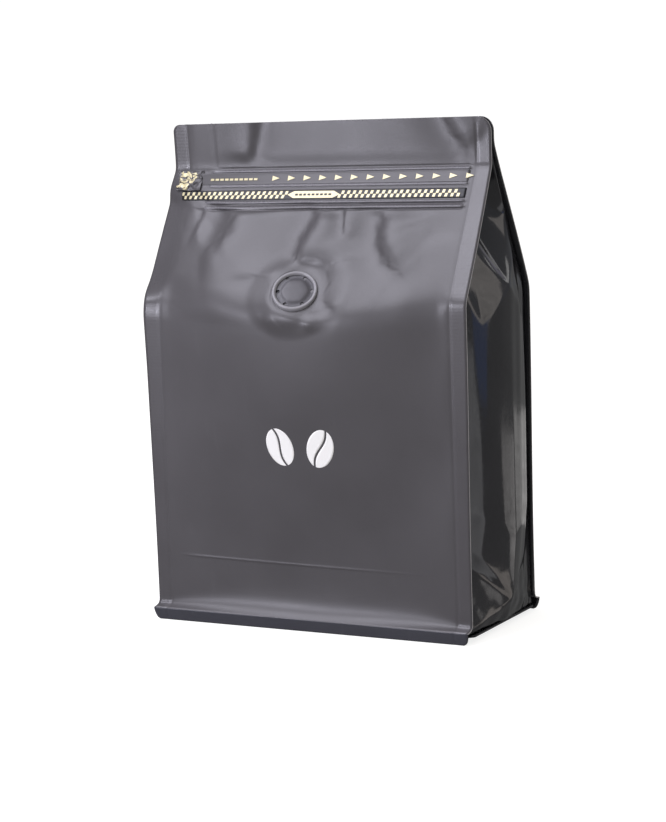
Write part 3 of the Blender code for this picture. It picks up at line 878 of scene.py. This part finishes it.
def make_pull_tab(film, gold):
    """The crumpled tab that starts the tear: dark film with plain gold blocks printed on it."""
    low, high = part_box("pull_tab")
    rows = spread(low.z, high.z, 0.14 * MM)
    columns = spread(low.x, high.x, 0.14 * MM)
    z, x = np.meshgrid(rows, columns, indexing="ij")
    crumple = soft_waves(x, z, 5, 3.2 * MM, 0.30 * MM) + soft_waves(x, z, 6, 1.5 * MM, 0.10 * MM)
    uneven = 0.5 * MM * soft_waves(x, z, 8, 5 * MM, 1.0)
    points = on_front(x + 0.4 * uneven, z + 0.3 * uneven, 0.75 * MM + crumple)
    tab = grid_mesh("pull_tab_film", points)
    across = (columns - low.x) / (high.x - low.x)
    up = (rows - low.z) / (high.z - low.z)
    u, v = np.meshgrid((across[1:] + across[:-1]) / 2, (up[1:] + up[:-1]) / 2)
    wave = 0.035 * np.sin(21 * u + 2.0) + 0.03 * np.sin(37 * v)
    printed = ((v + wave > 0.70) & (v + wave < 0.93) & (u + wave > 0.10) & (u + wave < 0.58))
    printed |= ((v + wave > 0.62) & (v < 0.93) & (u + wave > 0.42) & (u + wave < 0.58))
    printed |= ((v + wave > 0.12) & (v + wave < 0.32) & (u + wave > 0.05) & (u + wave < 0.50))
    printed |= ((v + wave > 0.04) & (v < 0.32) & (u + wave > 0.36) & (u + wave < 0.50))
    printed |= ((np.abs(v + wave - 0.44) < 0.035) | (np.abs(v + wave - 0.56) < 0.03)) & (u > 0.06) & (u < 0.72)
    printed |= (np.abs(u + wave - 0.68) < 0.035) & (v > 0.58) & (v < 0.9)
    tab.data.materials.append(film)
    tab.data.materials.append(gold)
    tab.data.polygons.foreach_set("material_index", printed.astype(int).ravel())
    thicken(tab, 0.1 * MM)
    return piece(tab, [], ["pull_tab"])


# ---------------------------------------------------------------- the printed mark
MARK_Z = 68.0 * MM
BEANS = [(-7.3 * MM, 24), (9.1 * MM, -18)]  # where each bean's middle lies, and its lean in degrees
BEAN_SIZE = (10.6 * MM, 14.2 * MM)


def make_bean_mark(materials):
    """Two plain coffee beans in white: each is two halves on either side of a curved slit."""
    bm = bmesh.new()
    steps, across = 28, 7
    for middle_x, lean in BEANS:
        turn = math.radians(lean)
        for side in (-1, 1):
            rows = []
            for i in range(steps + 1):
                v = math.cos(math.pi * i / steps)
                slit = 0.20 * math.sin(2.6 * v) + side * 0.075
                rim = side * math.sqrt(max(0.0, 1 - v * v))
                if side * (rim - slit) < 0:
                    rim = slit
                row = []
                for j in range(across + 1):
                    u = slit + (rim - slit) * j / across
                    px, pz = u * BEAN_SIZE[0] / 2, v * BEAN_SIZE[1] / 2
                    x = middle_x + px * math.cos(turn) - pz * math.sin(turn)
                    z = MARK_Z + px * math.sin(turn) + pz * math.cos(turn)
                    row.append(bm.verts.new(on_front(x, z, 0.03 * MM)))
                rows.append(row)
            for above, below in zip(rows, rows[1:]):
                for j in range(across):
                    quad = (above[j], above[j + 1], below[j + 1], below[j])
                    bm.faces.new(quad if side < 0 else quad[::-1])
    bmesh.ops.remove_doubles(bm, verts=bm.verts, dist=1e-6)
    for face in bm.faces:
        face.normal_update()
        if face.normal.y > 0:
            face.normal_flip()
    mesh = bpy.data.meshes.new("bean_mark")
    bm.to_mesh(mesh)
    bm.free()
    mesh.shade_smooth()
    mark = bpy.data.objects.new("bean_mark", mesh)
    bpy.context.scene.collection.objects.link(mark)
    thicken(mark, 0.04 * MM, offset=1.0)
    return piece(mark, materials)


# ---------------------------------------------------------------- the valve
# From the middle of the top out and round to the back: (radius, height) in millimetres, and which of
# the valve's finishes the film of plastic from there outwards has.
BOSS, GROOVE, RIM, HOLE = range(4)
VALVE_PROFILE = [
    (0.0, 0.70, BOSS),
    (2.4, 0.69, BOSS),
    (4.0, 0.62, BOSS),
    (4.75, 0.50, BOSS),
    (4.95, 0.42, BOSS),
    # The groove's darker finish is painted shade.
    (5.25, 0.16, GROOVE),
    (6.15, 0.12, GROOVE),
    (6.75, 0.12, GROOVE),
    (6.90, 0.30, RIM),
    (7.05, 0.78, RIM),
    (7.35, 1.02, RIM),
    (7.75, 1.08, RIM),
    (8.10, 0.94, RIM),
    (8.26, 0.55, RIM),
    (8.32, -0.35, RIM),
    (0.0, -0.35, BOSS),
]
BOSS_EDGE = 5.7
VALVE_HOLES = 6
HOLE_CIRCLE = 6.20 * MM
HOLE_RADIUS = 0.72 * MM


def valve_place():
    """Where the valve lies: its back on the flat that the front film makes for it."""
    turn = Matrix.Rotation(VALVE_TURN, 4, "Z") @ Matrix.Rotation(math.pi / 2 - VALVE_TILT, 4, "X")
    outward = turn.to_3x3() @ Vector((0, 0, 1))
    seat = Vector((VALVE_X, -float(filled_front(VALVE_X, VALVE_Z)), VALVE_Z))
    return Matrix.Translation(seat + outward * 0.15 * MM) @ turn


def make_valve(materials):
    """The one-way valve: a rolled rim, a sunk ring with small holes, and a six-sided boss."""
    steps = 96
    bm = bmesh.new()
    rings = []
    for radius, height, _ in VALVE_PROFILE:
        if radius == 0.0:
            rings.append([bm.verts.new((0, 0, height * MM))])
            continue
        ring = []
        for i in range(steps):
            angle = math.tau * i / steps
            corner = math.cos(math.pi / VALVE_HOLES) / math.cos(angle % (math.pi / 3) - math.pi / 6)
            corner = 0.55 + 0.45 * corner
            r = radius * (corner if 2.0 < radius < BOSS_EDGE else 1.0) * MM
            ribbed = 6.0 < radius < 6.3 and math.radians(185) < angle < math.radians(255)
            rise = 0.16 * max(0.0, math.sin(42 * angle)) if ribbed else 0.0
            ring.append(bm.verts.new((r * math.cos(angle), r * math.sin(angle), (height + rise) * MM)))
        rings.append(ring)
    for (_, _, finish), a, b in zip(VALVE_PROFILE, rings, rings[1:]):
        for i in range(steps):
            j = (i + 1) % steps
            if len(a) == 1:
                corners = (a[0], b[i], b[j])
            elif len(b) == 1:
                corners = (a[i], b[0], a[j])
            else:
                corners = (a[i], b[i], b[j], a[j])
            bm.faces.new(corners).material_index = finish
    bmesh.ops.recalc_face_normals(bm, faces=bm.faces)
    mesh = bpy.data.meshes.new("valve_moulding")
    bm.to_mesh(mesh)
    bm.free()
    valve = bpy.data.objects.new("valve_moulding", mesh)
    bpy.context.scene.collection.objects.link(valve)
    for material in materials:
        mesh.materials.append(material)
    cut_valve_holes(valve, materials[HOLE])
    mesh = valve.data
    mesh.shade_smooth()
    mesh.set_sharp_from_angle(angle=math.radians(50))
    valve.matrix_world = valve_place()
    return piece(valve, [], ["valve"])


def cut_valve_holes(valve, dark):
    """Cuts the small holes between the boss and the rim, their walls and floors painted black as shade, then
    leaves plain mesh behind.
    """
    bm = bmesh.new()
    for i in range(VALVE_HOLES):
        angle = math.tau * i / VALVE_HOLES
        made = bmesh.ops.create_cone(
            bm, cap_ends=True, segments=20, radius1=HOLE_RADIUS, radius2=HOLE_RADIUS, depth=1.6 * MM
        )
        away = Vector((HOLE_CIRCLE * math.cos(angle), HOLE_CIRCLE * math.sin(angle), 0.50 * MM))
        bmesh.ops.translate(bm, verts=made["verts"], vec=away)
    mesh = bpy.data.meshes.new("valve_cutter")
    bm.to_mesh(mesh)
    bm.free()
    mesh.materials.append(dark)
    cutter = bpy.data.objects.new("valve_cutter", mesh)
    bpy.context.scene.collection.objects.link(cutter)
    cut = valve.modifiers.new("Holes", "BOOLEAN")
    cut.operation = "DIFFERENCE"
    cut.material_mode = "TRANSFER"
    cut.object = cutter
    bpy.context.view_layer.update()
    graph = bpy.context.evaluated_depsgraph_get()
    whole = bpy.data.meshes.new_from_object(valve.evaluated_get(graph))
    valve.modifiers.clear()
    valve.data = whole
    bpy.data.objects.remove(cutter, do_unlink=True)


# ---------------------------------------------------------------- floor, light and camera
def make_floor():
    """A pale floor: white where it is seen, dimmer where it only lights the bag or mirrors in it."""
    mesh = bpy.data.meshes.new("floor")
    reach = 9.0
    mesh.from_pydata([(-reach, -reach, 0), (reach, -reach, 0), (reach, reach, 0), (-reach, reach, 0)], [], [(0, 1, 2, 3)])
    floor = bpy.data.objects.new("floor", mesh)
    bpy.context.scene.collection.objects.link(floor)
    material, tree, shader = new_material("pale_floor", (0.9, 0.9, 0.9))
    noise = add(tree, "ShaderNodeTexNoise", {"Scale": 2.0, "Detail": 2.0})
    tone = remap(tree, noise.outputs["Fac"], 0.3, 0.7, 0.42, 0.46)
    colour = add(tree, "ShaderNodeCombineColor", {"Red": tone, "Green": tone, "Blue": tone})
    tree.links.new(colour.outputs[0], shader.inputs["Base Color"])
    shader.inputs["Roughness"].default_value = 0.9
    shader.inputs["Specular IOR Level"].default_value = 0.0
    rays = add(tree, "ShaderNodeLightPath").outputs
    shown = add(tree, "ShaderNodeEmission", {"Color": (1, 1, 1, 1), "Strength": 0.80}).outputs[0]
    dim = add(tree, "ShaderNodeEmission", {"Color": (1, 1, 1, 1), "Strength": 0.16}).outputs[0]
    lit = shader.outputs["BSDF"]
    seen = add(tree, "ShaderNodeAddShader", {0: lit, 1: shown}).outputs[0]
    mirrored = add(tree, "ShaderNodeMixShader", {0: rays["Is Glossy Ray"], 1: lit, 2: dim}).outputs[0]
    either = add(tree, "ShaderNodeMixShader", {0: rays["Is Camera Ray"], 1: mirrored, 2: seen}).outputs[0]
    tree.links.new(either, tree.nodes["Material Output"].inputs["Surface"])
    mesh.materials.append(material)


# What the glossy film mirrors. Each card has a near or low edge and a far or high edge; an edge is the
# compass span that it fills, in degrees from the bag's right-hand side towards its back, its distance
# and its height. Then come the card's light and its tint.
CARDS = [
    ("crease_table", ((44, 60), 0.05, 0.0), ((36, 64), 0.46, 0.0), 0.80, (1.0, 0.97, 0.96)),
    ("back_table", ((70, 110), 0.17, 0.0), ((70, 110), 0.56, 0.0), 0.62, (1.0, 0.98, 0.97)),
    ("side_table", ((-22, -8), 0.02, 0.0), ((-14, 5), 0.95, 0.0), 0.72, (0.97, 0.97, 1.0)),
    ("corner_table", ((4, 50), 0.008, 0.0), ((4, 40), 0.055, 0.0), 0.95, (1.0, 0.92, 0.86)),
    ("blue_screen", ((7, 17), 0.60, -0.02), ((5, 19), 0.60, 0.085), 0.42, (0.42, 0.55, 1.0)),
    ("warm_card", ((12, 20), 0.80, 0.04), ((0, 34), 0.80, 0.50), 1.0, (1.0, 0.94, 0.90)),
    ("high_card", ((54, 70), 0.80, 0.42), ((54, 70), 0.80, 0.95), 1.3, (1.0, 1.0, 1.0)),
    ("far_card", ((72, 120), 1.00, 0.30), ((72, 120), 1.00, 0.80), 0.42, (0.88, 0.85, 1.0)),
]


def make_cards():
    for name, near, far, strength, colour in CARDS:
        points = []
        for span, distance, height in (near, far):
            for i in range(9):
                angle = math.radians(span[0] + (span[1] - span[0]) * i / 8)
                x, y = distance * math.cos(angle), distance * math.sin(angle)
                points.append((RIDGE_X + x, y, 0.001 + height))
        faces = [(i, i + 1, i + 10, i + 9) for i in range(8)]
        mesh = bpy.data.meshes.new(name)
        mesh.from_pydata(points, [], faces)
        card = bpy.data.objects.new(name, mesh)
        bpy.context.scene.collection.objects.link(card)
        material = bpy.data.materials.new(name)
        material.use_nodes = True
        tree = material.node_tree
        tree.nodes.clear()
        noise = add(tree, "ShaderNodeTexNoise", {"Scale": 14.0, "Detail": 3.0})
        level = remap(tree, noise.outputs["Fac"], 0.3, 0.7, 0.6 * strength, 1.2 * strength)
        glow = add(tree, "ShaderNodeEmission", {"Color": (*colour, 1), "Strength": level}).outputs[0]
        out = add(tree, "ShaderNodeOutputMaterial")
        tree.links.new(glow, out.inputs["Surface"])
        mesh.materials.append(material)
        card.visible_camera = False
        card.visible_diffuse = False
        card.visible_shadow = False


def area_light(name, place, aim, size, power, colour=(1, 1, 1)):
    light = bpy.data.lights.new(name, "AREA")
    light.shape = "RECTANGLE"
    light.size, light.size_y = size
    light.energy = power
    light.color = colour
    lamp = bpy.data.objects.new(name, light)
    lamp.location = place
    lamp.rotation_euler = (Vector(aim) - Vector(place)).to_track_quat("-Z", "Y").to_euler()
    bpy.context.scene.collection.objects.link(lamp)
    return lamp


def make_lights():
    area_light("overhead_softbox", (-0.42, -0.52, 1.10), (0, 0, 0.12), (0.9, 0.7), 10.8, (0.89, 0.88, 1.0))
    area_light("low_strip", (-0.25, -0.47, 0.20), (0, 0, 0.175), (0.12, 0.09), 0.98, (0.88, 0.87, 1.0))
    world = bpy.data.worlds.new("studio")
    bpy.context.scene.world = world
    world.use_nodes = True
    tree = world.node_tree
    tree.nodes.clear()
    rays = add(tree, "ShaderNodeLightPath").outputs
    shown = add(tree, "ShaderNodeBackground", {"Color": (1, 1, 1, 1), "Strength": 1.05}).outputs[0]
    room = add(tree, "ShaderNodeBackground", {"Color": (1.0, 0.965, 0.905, 1), "Strength": 0.72}).outputs[0]
    dark = add(tree, "ShaderNodeBackground", {"Color": (0.9, 0.93, 1.0, 1), "Strength": 0.20}).outputs[0]
    unseen = add(tree, "ShaderNodeMixShader", {0: rays["Is Glossy Ray"], 1: room, 2: dark}).outputs[0]
    either = add(tree, "ShaderNodeMixShader", {0: rays["Is Camera Ray"], 1: unseen, 2: shown}).outputs[0]
    out = add(tree, "ShaderNodeOutputWorld")
    tree.links.new(either, out.inputs["Surface"])


def make_camera():
    azimuth, elevation, roll = (math.radians(a) for a in (28.64, 7.95, -2.11))
    distance, aim = 0.863, Vector((-2.6 * MM, 0, 76.8 * MM))
    back = Vector((math.sin(azimuth) * math.cos(elevation), -math.cos(azimuth) * math.cos(elevation), math.sin(elevation)))
    right = Vector((math.cos(azimuth), math.sin(azimuth), 0))
    up = back.cross(right)
    across = right * math.cos(roll) + up * math.sin(roll)
    upward = up * math.cos(roll) - right * math.sin(roll)
    turned = Matrix((across, upward, back)).transposed().to_4x4()
    data = bpy.data.cameras.new("camera")
    data.lens, data.sensor_width = 101.95, 36
    data.clip_start = 0.01
    camera = bpy.data.objects.new("camera", data)
    bpy.context.scene.collection.objects.link(camera)
    camera.matrix_world = Matrix.Translation(aim + back * distance) @ turned
    bpy.context.scene.camera = camera


def dress_bag():
    made = build_materials()
    film, gloss, gold = made["matte"], made["gloss"], made["gold"]
    # Layers: the matte film, gloss inside, the cut edge's painted highlight, the hem lip's painted shade, and
    # gloss inside the lip.
    layers = [film, gloss, made["edge"], made["hem"], gloss]
    make_panel("front_film", front_face, True, "front_panel", layers)
    make_panel("back_film", back_face, False, "back_panel", layers)
    make_gusset("gusset_right", 1, [gloss], ["bag_body"])
    make_gusset("gusset_left", -1, [gloss])
    make_tear_strip([film])
    piece(patches_on_front("strip_arrows", arrow_outlines(), on_strip, 0.03 * MM), [gold])
    piece(patches_on_front("strip_dashes", dash_outlines(), on_strip, 0.03 * MM), [gold])
    make_zip_welts([made["pressed"]])
    make_zip_band([made["black"]])
    piece(patches_on_front("zip_cord_print", link_outlines(), 0.28 * MM, 0.05 * MM), [gold])
    piece(patches_on_front("zip_lozenge", lozenge_outlines(), 0.30 * MM, 0.05 * MM), [gold])
    bars = patches_on_front("lozenge_bars", lozenge_bar_outlines(), 0.36 * MM, 0.03 * MM)
    piece(bars, [made["black"]])
    make_pull_tab(film, gold)
    make_bean_mark([made["white"]])
    # The holes' black walls are painted shade.
    make_valve([made["valve"], made["valve_dark"], made["rim"], made["black"]])
    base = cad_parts["base_panel"]
    base.data.materials.clear()
    base.data.materials.append(gloss)


make_camera()
make_floor()
make_cards()
make_lights()
dress_bag()
bpy.context.scene.view_settings.view_transform = "Standard"
